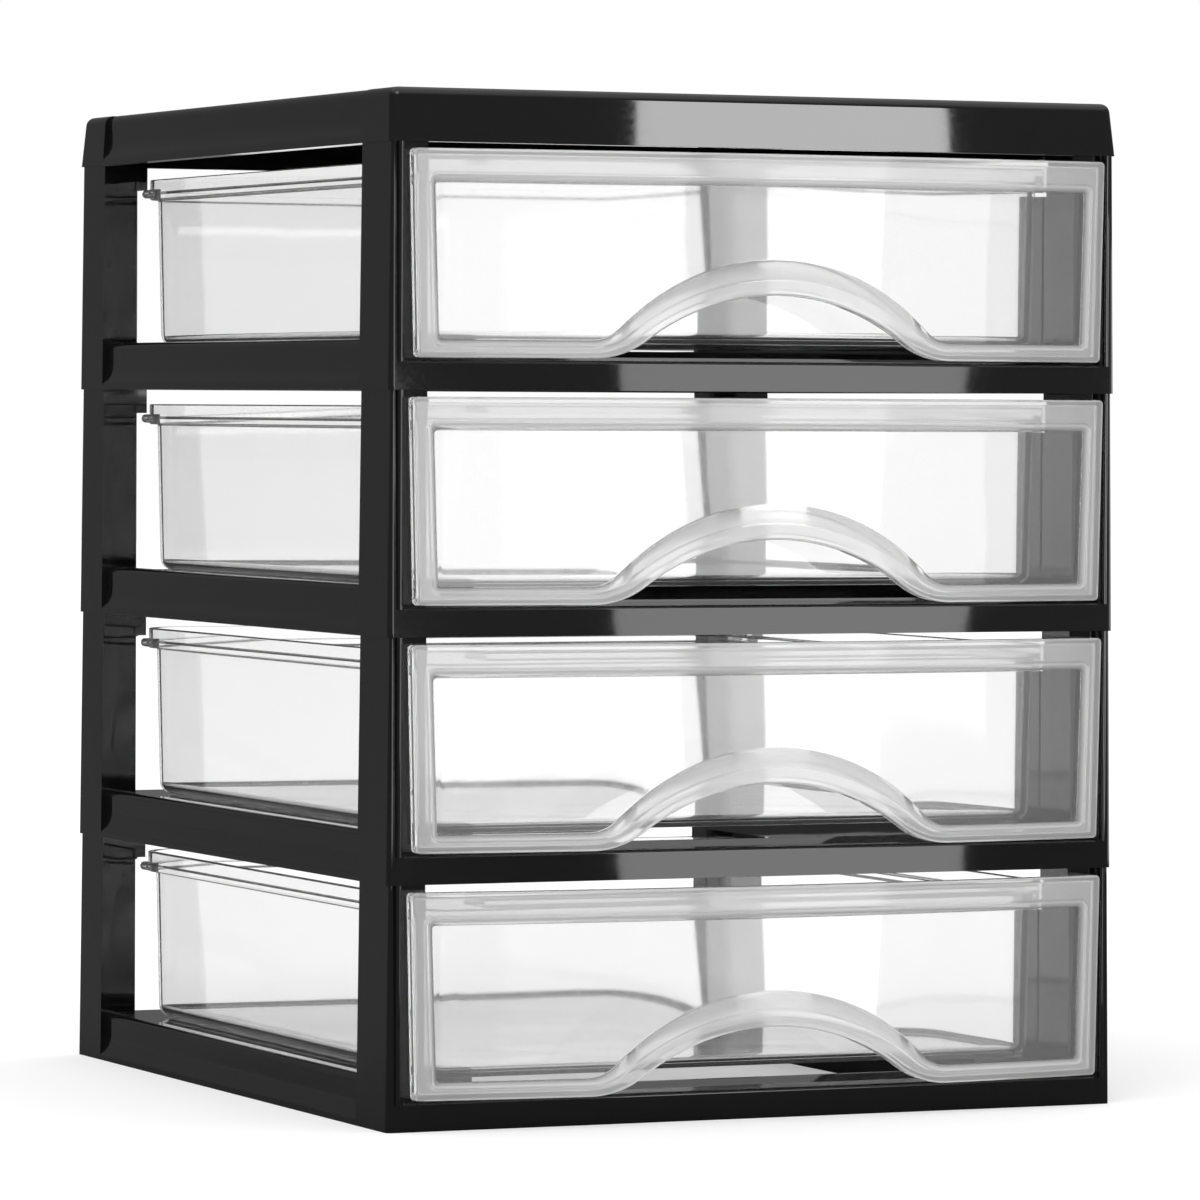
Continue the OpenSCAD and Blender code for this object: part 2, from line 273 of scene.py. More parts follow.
@dataclass(frozen=True)
class ClearPlastic:
    """Clear moulded polystyrene: glass-like with a little milkiness and faint flow marks.

    Where a surface is marked above 0, as on the border of a front, it is finely textured:
    it scatters more light and blurs what lies behind it. On a front's rounded edge and ridge the mark
    is higher than on the border, and the extra milk there is a painted highlight.
    """

    ior: float = 1.59
    shade_tint: Colour = (0.97, 0.97, 0.97)
    milk_tint: Colour = (0.96, 0.96, 0.96)
    milk: float = 0.03
    milk_through: float = 0.5
    # Milk per unit of the mark: real frost on a front's border, and a painted highlight beyond it on
    # the edge and ridge.
    frosted_and_highlight_milk: float = 0.42
    frosted_rough: float = 0.05
    smooth: float = 0.01
    rubbed: float = 0.04
    wave_scale: float = 34.0
    wave_depth: float = 0.00006
    rub_scale: float = 700.0
    rub_detail: float = 2.0

    def material(self) -> bpy.types.Material:
        """Builds the node material.

        Light that falls through it to other surfaces goes straight on, and what is seen through it is
        bent as in a moulded wall.

        Returns:
            The material.
        """
        material, tree = new_material(Finish.CLEAR.look)
        output = tree.nodes["Material Output"]
        clear = tree.nodes.new("ShaderNodeBsdfPrincipled")
        set_sockets(clear, Base_Color=WHITE, IOR=self.ior, Transmission_Weight=1.0)
        attribute = tree.nodes.new("ShaderNodeAttribute")
        attribute.attribute_name = FROST_AND_HIGHLIGHT
        frost_and_highlight = attribute.outputs["Fac"]
        rubs = object_noise(tree, self.rub_scale, self.rub_detail)
        fine = spread(tree, rubs, NOISE_SPAN, (self.smooth, self.rubbed))
        rough = calculated(tree, "MULTIPLY_ADD", frost_and_highlight, self.frosted_rough, fine)
        tree.links.new(rough, clear.inputs["Roughness"])
        add_waves(tree, clear, self.wave_scale, self.wave_depth)
        straight = plain(tree, "ShaderNodeBsdfTransparent", self.shade_tint)
        ray = tree.nodes.new("ShaderNodeLightPath")
        shadow, diffuse = ray.outputs["Is Shadow Ray"], ray.outputs["Is Diffuse Ray"]
        lighting = calculated(tree, "MAXIMUM", shadow, diffuse)
        body = mixed(tree, lighting, clear.outputs["BSDF"], straight)
        front = plain(tree, "ShaderNodeBsdfDiffuse", self.milk_tint)
        behind = plain(tree, "ShaderNodeBsdfTranslucent", self.milk_tint)
        milky = mixed(tree, self.milk_through, front, behind)
        # The mark adds milk: real texture on the border, a painted highlight where the edge and ridge
        # go above 1.
        share = calculated(tree, "MULTIPLY_ADD", frost_and_highlight, self.frosted_and_highlight_milk, self.milk)
        tree.links.new(mixed(tree, share, body, milky), output.inputs["Surface"])
        return material


# ---------------------------------------------------------------------------------------------
# Surfaces
# ---------------------------------------------------------------------------------------------


def arc(centre: Pair, radius: float, start: float, end: float, steps: int) -> np.ndarray:
    """Points of a circular arc: centre + radius (cos a, sin a), for a from start to end.

    Args:
        centre: the arc's centre in its plane, in millimetres.
        radius: the arc's radius in millimetres.
        start: the first angle in degrees.
        end: the last angle in degrees.
        steps: the number of points, both ends included.

    Returns:
        An array of steps by 2 coordinates.
    """
    angle = np.radians(np.linspace(start, end, steps))
    return np.column_stack((centre[0] + radius * np.cos(angle), centre[1] + radius * np.sin(angle)))


def bell_height(x: np.ndarray, half: float, rise: float, crown: float) -> np.ndarray:
    """Height of a bell curve: a round crown of radius crown that runs smoothly into hollow feet.

    The foot radius is (half^2 + rise^2) / (2 rise) - crown. The crown is rise - crown +
    sqrt(crown^2 - x^2), and a foot is r - sqrt(r^2 - (half - |x|)^2). They meet where |x| is
    half crown / (r + crown). Outside the half width the height is zero.

    Args:
        x: places across the curve in millimetres.
        half: half the curve's width in millimetres.
        rise: its height in millimetres.
        crown: the radius of its crown in millimetres.

    Returns:
        The height at each place.
    """
    foot = (half * half + rise * rise) / (2 * rise) - crown
    side = np.minimum(np.abs(x), half)
    top = rise - crown + np.sqrt(np.maximum(crown * crown - side * side, 0))
    hollow = foot - np.sqrt(np.maximum(foot * foot - (half - side) ** 2, 0))
    return np.where(side < half * crown / (foot + crown), top, hollow)


def shifted(loop: np.ndarray, inset: float) -> np.ndarray:
    """Moves each point of a closed loop inwards by inset, at right angles to the loop.

    The loop runs counter-clockwise, so inwards is the tangent turned a quarter left.

    Args:
        loop: points of the loop, N by 2, in millimetres.
        inset: how far to move, in millimetres; negative moves outwards.

    Returns:
        The moved points.
    """
    tangent = np.roll(loop, -1, axis=0) - np.roll(loop, 1, axis=0)
    tangent /= np.linalg.norm(tangent, axis=1, keepdims=True)
    return loop + inset * np.column_stack((-tangent[:, 1], tangent[:, 0]))


def finished(name: str, mesh: bpy.types.Mesh, finish: Finish, node: str, body: str) -> bpy.types.Object:
    """Makes a piece of a mesh: turns its normals outwards, dresses it and lets it ride.

    Args:
        name: the piece's name.
        mesh: the piece's mesh, in metres in the part's frame.
        finish: the plastic it is made of.
        node: the CAD node that it stands for.
        body: the body that it moves with.

    Returns:
        The new object, which sits at the origin.
    """
    shape = bmesh.new()
    shape.from_mesh(mesh)
    bmesh.ops.recalc_face_normals(shape, faces=shape.faces[:])
    shape.to_mesh(mesh)
    shape.free()
    piece = bpy.data.objects.new(name, mesh)
    bpy.context.scene.collection.objects.link(piece)
    mesh.materials.clear()
    mesh.materials.append(bpy.data.materials[finish.look])
    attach(piece, body)
    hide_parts(node)
    log.info("%s: %d faces, stands for %s", name, len(mesh.polygons), node)
    return piece


def add_face_weighting(piece: bpy.types.Object) -> None:
    """Lets a piece's flat faces shade flat and its small round edges carry the turn between them.

    Args:
        piece: the piece to shade.
    """
    weighting = piece.modifiers.new("flat_faces", "WEIGHTED_NORMAL")
    weighting.keep_sharp = True


def ring_faces(rings: int, count: int, start: int) -> np.ndarray:
    """Quads between neighbouring rings of points: a grid that closes on itself round each ring.

    Args:
        rings: the number of rings.
        count: the number of points in each ring.
        start: the index of the first point.

    Returns:
        The corner indices of each quad.
    """
    row, column = np.meshgrid(np.arange(rings - 1), np.arange(count), indexing="ij")
    here = start + row * count + column
    along = start + row * count + (column + 1) % count
    return np.stack((here, along, along + count, here + count), axis=-1).reshape(-1, 4)


@dataclass
class Shell:
    """A mesh that is gathered from several closed surfaces."""

    points: list[np.ndarray] = field(default_factory=list)
    faces: list[list[int]] = field(default_factory=list)
    frost_and_highlight: list[np.ndarray] = field(default_factory=list)
    size: int = 0

    def add_rings(self, rings: np.ndarray, frost_and_highlight: list[float] | None = None) -> int:
        """Adds rings of points and the quads between them.

        Args:
            rings: R by N by 3 coordinates in millimetres.
            frost_and_highlight: how finely textured each ring is, with a painted highlight above 1, as
                in FrostAndHighlightLevels; smooth where left out.

        Returns:
            The index of the first point of the first ring.
        """
        start = self.size
        count = rings.shape[1]
        self.points.append(rings.reshape(-1, 3))
        self.frost_and_highlight.append(np.repeat(frost_and_highlight or [0.0] * rings.shape[0], count))
        self.faces.extend(ring_faces(rings.shape[0], count, start).tolist())
        self.size += rings.shape[0] * count
        return start

    def add_face(self, corners: list[int]) -> None:
        """Adds one flat face."""
        self.faces.append(corners)

    def mesh(self, name: str) -> bpy.types.Mesh:
        """Turns the gathered surfaces into a smooth-shaded mesh in metres.

        Args:
            name: the mesh's name.

        Returns:
            The new mesh.
        """
        mesh = bpy.data.meshes.new(name)
        mesh.from_pydata((np.concatenate(self.points) * MM).tolist(), [], self.faces)
        frost_and_highlight = mesh.attributes.new(FROST_AND_HIGHLIGHT, "FLOAT", "POINT")
        frost_and_highlight.data.foreach_set("value", np.concatenate(self.frost_and_highlight))
        mesh.update()
        return mesh


# ---------------------------------------------------------------------------------------------
# The black frame
# ---------------------------------------------------------------------------------------------


@dataclass
class BlackMoulding:
    """One black moulding, made from its CAD node with softly rounded edges."""

    node: str
    edge_radius: float = 0.35
    edge_steps: int = 3
    sharp_angle: float = 32.0
    flat_angle: float = 0.4
    merge: float = 0.002
    guides: tuple[Span, ...] = ()
    guide_span: Span = (17.0, 25.5)
    guide_height: Span = (10.0, 45.1)
    beads: tuple[float, ...] = ()
    bead_radius: float = 0.6
    bead_depth: Span = (-0.2, 0.3)
    bead_height: Span = (6.2, 54.5)
    bead_steps: int = 15

    def add_beads(self, shape: bmesh.types.BMesh) -> None:
        """Adds the round bead down the front of each front post: a half circle on two straight sides.

        Args:
            shape: the mesh to add to, in metres in the part's frame.
        """
        low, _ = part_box(self.node)
        near, far = self.bead_depth
        for x in self.beads:
            front = arc((x, near), self.bead_radius, 180, 360, self.bead_steps)
            back = [[x + self.bead_radius, far], [x - self.bead_radius, far]]
            section = np.concatenate((front, back)) * MM
            section[:, 1] += low[1]
            ends = []
            for z in self.bead_height:
                ends.append([shape.verts.new((*point, low[2] + z * MM)) for point in section])
            foot, head = ends
            shape.faces.new(foot[::-1])
            shape.faces.new(head)
            for k in range(len(section)):
                after = (k + 1) % len(section)
                shape.faces.new((foot[k], foot[after], head[after], head[k]))

    def add_guides(self, shape: bmesh.types.BMesh) -> None:
        """Adds the guides behind the front posts: thin walls that carry on the posts' inner walls.

        Each stands on a ledge and ends under the notch that lets a drawer's lug pass.

        Args:
            shape: the mesh to add to, in metres in the part's frame.
        """
        low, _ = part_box(self.node)
        y0, y1 = (low[1] + v * MM for v in self.guide_span)
        z0, z1 = (low[2] + v * MM for v in self.guide_height)
        for x0, x1 in self.guides:
            size = Vector(((x1 - x0) * MM, y1 - y0, z1 - z0))
            middle = Vector(((x0 + x1) / 2 * MM, (y0 + y1) / 2, (z0 + z1) / 2))
            place = Matrix.Translation(middle) @ Matrix.Diagonal((*size, 1.0))
            bmesh.ops.create_cube(shape, size=1.0, matrix=place)

    def build(self) -> bpy.types.Object:
        """Copies the node's mesh, joins its loose triangles and rounds its sharp edges.

        Returns:
            The finished moulding.
        """
        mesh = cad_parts[self.node].data.copy()
        mesh.name = f"{self.node}_moulding"
        shape = bmesh.new()
        shape.from_mesh(mesh)
        bmesh.ops.remove_doubles(shape, verts=shape.verts[:], dist=self.merge * MM)
        bmesh.ops.dissolve_limit(
            shape,
            angle_limit=math.radians(self.flat_angle),
            verts=shape.verts[:],
            edges=shape.edges[:],
        )
        self.add_guides(shape)
        self.add_beads(shape)
        shape.to_mesh(mesh)
        shape.free()
        for name in ("custom_normal", "sharp_face", "sharp_edge"):
            if name in mesh.attributes:
                mesh.attributes.remove(mesh.attributes[name])
        piece = finished(f"{self.node}_moulding", mesh, Finish.BLACK, self.node, "frame")
        mesh.shade_smooth()
        bevel = piece.modifiers.new("round_edges", "BEVEL")
        bevel.width = self.edge_radius * MM
        bevel.segments = self.edge_steps
        bevel.limit_method = "ANGLE"
        bevel.angle_limit = math.radians(self.sharp_angle)
        add_face_weighting(piece)
        return piece


# ---------------------------------------------------------------------------------------------
# The clear drawers
# ---------------------------------------------------------------------------------------------


@dataclass(frozen=True)
class Bell:
    """A bell curve in the foot of a panel: where it starts over the foot, half its width, its rise and
    the radius of its crown, in millimetres."""

    base: float
    half: float
    rise: float
    crown: float


@dataclass(frozen=True)
class FrostAndHighlightLevels:
    """How finely textured each part of a front is, where 0 is smooth and 1 is the flat border; above 1,
    on the rounded edge and the ridge, the extra milk is a painted highlight.
    """

    smooth: float = 0.0
    window: float = 0.1
    rim: float = 0.2
    slope: float = 0.4
    crest: float = 0.8
    border: float = 1.0
    # The rounded edge and the ridge are milkier than the border: a painted highlight along them.
    edge: float = 1.3
    ridge: float = 1.7


@dataclass(frozen=True)
class PanelSizes:
    """Sizes of a drawer's front panel, in millimetres.

    Heights are over the tier's foot, and the outlines of the ridge and of the window lie in from the
    panel's own. A run is how far outside such an outline a ring of points lies, and a fall is how far
    behind the face the ring lies, or behind the wall on the panel's back.
    """

    side_face: float = -3.0
    bulge: float = 6.5
    turned_back: float = 3.0
    foot: float = 7.1
    head: float = 53.0
    half_foot: float = 84.6
    half_head: float = 85.6
    corner: float = 1.0
    inner_corner: float = 0.4
    wall: float = 1.5
    edge_round: float = 0.6
    rim_round: float = 0.25
    ridge_corner: float = 1.3
    ridge_side: float = 4.0
    ridge_head: float = 5.8
    ridge_foot: float = 2.9
    window_side: float = 5.3
    window_head: float = 7.4
    window_foot: float = 4.1
    window_corner: float = 0.7
    recess: float = 1.3
    crest_run: Pair = (0.75, 0.35)
    crest_fall: Pair = (0.05, 0.22)
    slope_run: float = 0.3
    slope_rise: float = 0.16
    back_run: tuple[float, float, float] = (0.2, 0.5, 0.8)
    back_fall: float = 0.2
    pull: Bell = Bell(0.0, 44.0, 14.3, 54.0)
    ridge: Bell = Bell(2.9, 44.0, 15.4, 58.0)
    ramp: Bell = Bell(4.1, 44.5, 18.4, 54.0)

    def bow(self, x: np.ndarray, behind: float) -> np.ndarray:
        """Place of the bowed front across the panel: an arc round an upright axis.

        The face's radius is (half_head^2 + bulge^2) / (2 bulge), so that it meets side_face at the
        sides and stands bulge further forward in the middle. A surface behind it has that much less
        radius, and its place is axis - sqrt(radius^2 - x^2).

        Args:
            x: places across the panel.
            behind: how far behind the face the surface lies.

        Returns:
            The depth behind the frame's front plane at each place.
        """
        radius = (self.half_head**2 + self.bulge**2) / (2 * self.bulge)
        axis = radius + self.side_face - self.bulge
        return axis - np.sqrt((radius - behind) ** 2 - x**2)


@dataclass(frozen=True)
class TubSizes:
    """Sizes of a drawer's tub, in millimetres."""

    half_rim: float = 79.5
    rim_front: float = 8.0
    rim_back: float = 188.2
    corner: float = 11.0
    wall: float = 1.6
    floor: float = 10.6
    rim_foot: float = 46.1
    rim_head: float = 51.0
    rim_out: float = 2.0
    lean: float = 0.8
    floor_round: float = 3.0
    edge_round: float = 0.4
    lug_length: float = 8.0
    lug_height: float = 2.2
    lug_up: float = 0.3
    lug_out: float = 1.9
    lug_back: float = 8.0
    lug_tip: float = 0.02


@dataclass
class ClearDrawer:
    """One clear drawer: a tub with a stepped rim, a raised-border front with an arched pull, and lugs.

    The fields called steps are how many points a curve gets.
    """

    node: str
    base: float
    front_plane: float
    panel: PanelSizes = field(default_factory=PanelSizes)
    tub: TubSizes = field(default_factory=TubSizes)
    frost_and_highlight: FrostAndHighlightLevels = field(default_factory=FrostAndHighlightLevels)
    across: int = 145
    upright: int = 9
    round_steps: int = 7
    plan_steps: int = 21
    floor_steps: int = 9
    inner_floor_steps: int = 7
    step_steps: int = 4
    rim_steps: int = 5
    lug_steps: int = 9
    lug_end_steps: int = 5
    flange_steps: int = 49
    flange_overlap: Pair = (0.1, 0.3)
    flange_drop: float = 0.02
    sharp_angle: float = 40.0

    def panel_loop(
        self, inset: tuple[float, float, float], corner: float, bell: Bell, grow: float = 0.0
    ) -> np.ndarray:
        """One closed outline of the front panel, counter-clockwise from its lower left.

        The foot and the head are straight, but for the bell curve in the foot. The sides lean out
        towards the head by the panel's taper. The four corners are quarter circles. A grown bell keeps
        its centres: it starts higher by the growth, and its crown's radius is larger by it.

        Args:
            inset: how far the outline lies in from the side, the head and the foot.
            corner: its corner radius.
            bell: the bell curve in its foot.
            grow: how far the bell curve is moved outwards.

        Returns:
            The outline's points, N by 2, X and height.
        """
        p = self.panel
        side, head, foot = inset
        low, high = p.foot + foot, p.head - head
        half_low, half_high = p.half_foot - side - corner, p.half_head - side - corner
        x = np.linspace(-half_low, half_low, self.across)
        rise = bell_height(x, bell.half, bell.rise, bell.crown + grow)
        curve = p.foot + bell.base + grow + rise
        bottom = np.column_stack((x, np.maximum(low, curve)))
        x = np.linspace(half_high, -half_high, self.across)
        top = np.column_stack((x, np.full(self.across, high)))
        parts = [
            bottom,
            arc((half_low, low + corner), corner, -90, 0, self.round_steps)[1:],
            self.straight((half_low + corner, low + corner), (half_high + corner, high - corner)),
            arc((half_high, high - corner), corner, 0, 90, self.round_steps)[:-1],
            top,
            arc((-half_high, high - corner), corner, 90, 180, self.round_steps)[1:],
            self.straight((-half_high - corner, high - corner), (-half_low - corner, low + corner)),
            arc((-half_low, low + corner), corner, 180, 270, self.round_steps)[:-1],
        ]
        return np.concatenate(parts)

    def straight(self, start: Pair, end: Pair) -> np.ndarray:
        """Inner points of a straight stretch, its two ends left out.

        Args:
            start: where it starts.
            end: where it ends.

        Returns:
            The points, upright by 2.
        """
        share = np.linspace(0, 1, self.upright + 2)[1:-1, None]
        return np.array(start) * (1 - share) + np.array(end) * share

    def placed(self, loop: np.ndarray, behind: float) -> np.ndarray:
        """Stands a loop of X and height in the part's frame, bowed, at a depth behind the face.

        Args:
            loop: the loop's points, N by 2, X and height.
            behind: how far behind the panel's face it stands.

        Returns:
            The loop's points, N by 3.
        """
        depth = self.panel.bow(loop[:, 0], behind)
        return np.column_stack((loop[:, 0], depth + self.front_plane, loop[:, 1] + self.base))

    def add_panel(self, shell: Shell) -> None:
        """Adds the front panel: rings from the window's back, round the edges, to the window's face.

        Args:
            shell: the mesh to add to.
        """
        p = self.panel
        f = self.frost_and_highlight
        less = p.wall - p.rim_round
        outline = self.panel_loop((0, 0, 0), p.corner, p.pull)
        inner = self.panel_loop((p.wall,) * 3, p.inner_corner, p.pull, p.wall)
        inner_edge = self.panel_loop((less,) * 3, p.inner_corner, p.pull, less)
        ridge = self.panel_loop((p.ridge_side, p.ridge_head, p.ridge_foot), p.ridge_corner, p.ridge)
        window = self.panel_loop((p.window_side, p.window_head, p.window_foot), p.window_corner, p.ramp)
        r = p.edge_round
        near, half, far = (share * r for share in QUARTER_TURN)
        rings = [
            (shifted(window, -p.back_run[0]), p.recess + p.wall, f.window),
            (shifted(ridge, -p.back_run[1]), p.wall + p.back_fall, f.crest),
            (shifted(ridge, -p.back_run[2]), p.wall, f.border),
            (inner, p.wall, f.border),
            (inner, p.turned_back - p.rim_round, f.smooth),
            (inner_edge, p.turned_back, f.smooth),
            (shifted(outline, p.rim_round), p.turned_back, f.smooth),
            (outline, p.turned_back - p.rim_round, f.smooth),
            (outline, r, f.smooth),
            (shifted(outline, near), far, f.rim),
            # The rounded edge rings and the ridge ring below get more milk than the border: a painted
            # highlight.
            (shifted(outline, half), half, f.edge),
            (shifted(outline, far), near, f.edge),
            (shifted(outline, r), 0.0, f.border),
            (shifted(ridge, -p.crest_run[0]), 0.0, f.border),
            (shifted(ridge, -p.crest_run[1]), p.crest_fall[0], f.crest),
            (ridge, p.crest_fall[1], f.ridge),
            (shifted(window, -p.slope_run), p.recess - p.slope_rise, f.slope),
            (window, p.recess, f.window),
        ]
        placed = np.stack([self.placed(loop, behind) for loop, behind, _ in rings])
        start = shell.add_rings(placed, [frost_and_highlight for _, _, frost_and_highlight in rings])
        count = len(outline)
        self.fill_window(shell, start)
        self.fill_window(shell, start + (len(rings) - 1) * count)

    def fill_window(self, shell: Shell, start: int) -> None:
        """Closes a window loop: upright strips between its foot and head, and one face at each side.

        Args:
            shell: the mesh to add to.
            start: the index of the loop's first point.
        """
        side = 2 * (self.round_steps - 1) + self.upright
        head = self.across + side
        total = 2 * head
        for k in range(self.across - 1):
            top = head + self.across - 1 - k
            shell.add_face([start + k, start + k + 1, start + top - 1, start + top])
        shell.add_face([start + i for i in range(self.across - 1, head + 1)])
        shell.add_face([start + i % total for i in range(head + self.across - 1, total + 1)])

    def plan_loop(self, inset: float, height: float) -> np.ndarray:
        """The tub's plan at one height: a rectangle with round corners, moved in by inset.

        Args:
            inset: how far inside the rim's outer face the loop runs.
            height: its height over the tier's foot.

        Returns:
            The loop's points, N by 3, in the part's frame.
        """
        t = self.tub
        r = t.corner - inset
        x = t.half_rim - t.corner
        y0, y1 = t.rim_front + t.corner, t.rim_back - t.corner
        steps = self.plan_steps
        flat = np.concatenate(
            (
                arc((x, y0), r, -90, 0, steps),
                arc((x, y1), r, 0, 90, steps),
                arc((-x, y1), r, 90, 180, steps),
                arc((-x, y0), r, 180, 270, steps),
            )
        )
        level = np.full(len(flat), height + self.base)
        return np.column_stack((flat[:, 0], flat[:, 1] + self.front_plane, level))

    def tub_profile(self) -> np.ndarray:
        """The tub's wall section, from the middle of the floor's underside, over the rim, to its top.

        Each point is (inset from the rim's outer face, height). Straight stretches are joined by arcs:
        the floor's, the step under the rim, the rim's two edges and the step inside it.

        Returns:
            The section's points, M by 2.
        """
        t = self.tub
        e = t.edge_round
        wall_in = t.rim_out + t.lean
        inner = wall_in + t.wall
        inner_round = t.floor_round - t.wall
        inner_step = t.rim_foot + t.wall
        outer = (wall_in + t.floor_round, t.floor + t.floor_round)
        within = (inner + inner_round, t.floor + t.wall + inner_round)
        return np.concatenate(
            (
                arc(outer, t.floor_round, 270, 180, self.floor_steps),
                arc((t.rim_out - e, t.rim_foot - e), e, 0, 90, self.step_steps),
                arc((e, t.rim_foot + e), e, 270, 180, self.step_steps),
                arc((e, t.rim_head - e), e, 180, 90, self.rim_steps),
                arc((t.wall - e, t.rim_head - e), e, 90, 0, self.rim_steps),
                arc((t.wall + e, inner_step + e), e, 180, 270, self.step_steps),
                arc((t.wall + t.rim_out - e, inner_step - e), e, 90, 0, self.step_steps),
                arc(within, inner_round, 180, 270, self.inner_floor_steps),
            )
        )

    def add_tub(self, shell: Shell) -> None:
        """Adds the tub: its wall section carried round its plan, with a flat floor on both sides.

        Args:
            shell: the mesh to add to.
        """
        section = self.tub_profile()
        rings = np.stack([self.plan_loop(inset, height) for inset, height in section])
        start = shell.add_rings(rings)
        count = rings.shape[1]
        last = start + (len(section) - 1) * count
        shell.add_face([start + i for i in range(count)])
        shell.add_face([last + i for i in range(count)])

    def add_flange(self, shell: Shell) -> None:
        """Adds the flange that joins the bowed front panel to the tub's rim along the top.

        Args:
            shell: the mesh to add to.
        """
        p, t = self.panel, self.tub
        half = t.half_rim - t.corner
        into_panel, into_rim = self.flange_overlap
        z0, z1 = t.rim_head - t.wall, t.rim_head - self.flange_drop
        rings = []
        for x in np.linspace(-half, half, self.flange_steps):
            y0, y1 = float(p.bow(x, p.wall - into_panel)), t.rim_front + into_rim
            section = np.array([[x, y0, z0], [x, y1, z0], [x, y1, z1], [x, y0, z1]])
            rings.append(section + (0, self.front_plane, self.base))
        start = shell.add_rings(np.stack(rings))
        last = start + 4 * (len(rings) - 1)
        shell.add_face([start + i for i in range(4)])
        shell.add_face([last + i for i in range(4)])

    def add_lugs(self, shell: Shell) -> None:
        """Adds the two stop lugs: bars along the rim near its back, with a half-round outer face.

        A lug's section is a half circle of its height and straight sides that run into the rim. It is
        carried along the lug's length, and shrinks by a quarter circle at both ends.

        Args:
            shell: the mesh to add to.
        """
        t = self.tub
        r = t.lug_height / 2
        y1 = t.rim_back - t.lug_back + self.front_plane
        y0 = y1 - t.lug_length
        z = t.rim_foot + r + t.lug_up + self.base
        turn = np.radians(np.linspace(0, 90, self.lug_end_steps))
        back = turn[::-1][1:]
        scale = np.concatenate(([t.lug_tip], np.sin(turn[1:]), np.sin(back[:-1]), [t.lug_tip]))
        reach = r / 2
        along = np.concatenate((y0 + reach * (1 - np.cos(turn)), y1 - reach * (1 - np.cos(back))))
        outer = arc((0, 0), r, 90, 270, self.lug_steps)
        section = np.concatenate((outer, [[t.lug_out, -r], [t.lug_out, r]]))
        for side in (-1, 1):
            x = side * (t.half_rim + t.lug_out - r)
            rings = []
            for s, y in zip(scale, along):
                across, up = x - side * section[:, 0] * s, z + section[:, 1] * s
                rings.append(np.column_stack((across, np.full(len(section), y), up)))
            start = shell.add_rings(np.stack(rings))
            count = len(section)
            shell.add_face([start + i for i in range(count)])
            shell.add_face([start + (len(rings) - 1) * count + i for i in range(count)])

    def build(self) -> bpy.types.Object:
        """Builds the drawer as one clear moulding.

        Returns:
            The finished drawer.
        """
        shell = Shell()
        self.add_tub(shell)
        self.add_panel(shell)
        self.add_flange(shell)
        self.add_lugs(shell)
        mesh = shell.mesh(f"{self.node}_clear")
        piece = finished(f"{self.node}_clear", mesh, Finish.CLEAR, self.node, self.node)
        mesh.shade_smooth()
        mesh.set_sharp_from_angle(angle=math.radians(self.sharp_angle))
        add_face_weighting(piece)
        return piece


# ---------------------------------------------------------------------------------------------
# Camera, floor and light
# ---------------------------------------------------------------------------------------------


@dataclass(frozen=True)
class Viewpoint:
    """The photograph's viewpoint, found from the edges of the unit."""

    place: Place = (-0.6673, -1.49925, 0.1605)
    azimuth: float = 24.1
    pitch: float = 1.62
    roll: float = 0.285
    lens: float = 207.6
    sensor: float = 36.0
    clip: Span = (0.05, 50.0)

    def build(self) -> bpy.types.Object:
        """Makes the camera and sets it as the scene's.

        Returns:
            The camera object.
        """
        data = bpy.data.cameras.new("photo_camera")
        data.lens = self.lens
        data.sensor_width = self.sensor
        data.sensor_fit = "HORIZONTAL"
        data.clip_start, data.clip_end = self.clip
        camera = bpy.data.objects.new("photo_camera", data)
        bpy.context.scene.collection.objects.link(camera)
        turn = (
            Matrix.Rotation(math.radians(-self.azimuth), 4, "Z")
            @ Matrix.Rotation(math.radians(90 - self.pitch), 4, "X")
            @ Matrix.Rotation(math.radians(self.roll), 4, "Z")
        )
        camera.matrix_world = Matrix.Translation(Vector(self.place)) @ turn
        bpy.context.scene.camera = camera
        return camera


@dataclass(frozen=True)
class Lamp:
    """A rectangular area lamp that hangs at a place and points at another.

    Gloss mirrors every lamp. A lamp that doesn't light matt surfaces is only there to be mirrored.
    """

    name: str
    place: Place
    aim: Place
    size: Pair
    radiance: float
    lights_matt: bool = False

    def build(self) -> None:
        """Hangs the lamp.

        An area lamp's radiance is its power divided by its area and by pi.
        """
        data = bpy.data.lights.new(self.name, "AREA")
        data.shape = "RECTANGLE"
        data.size, data.size_y = self.size
        data.energy = self.radiance * math.pi * self.size[0] * self.size[1]
        lamp = bpy.data.objects.new(self.name, data)
        bpy.context.scene.collection.objects.link(lamp)
        place = Vector(self.place)
        turn = (Vector(self.aim) - place).to_track_quat("-Z", "Y").to_matrix().to_4x4()
        lamp.matrix_world = Matrix.Translation(place) @ turn
        lamp.visible_camera = False
        lamp.visible_transmission = False
        lamp.visible_diffuse = self.lights_matt


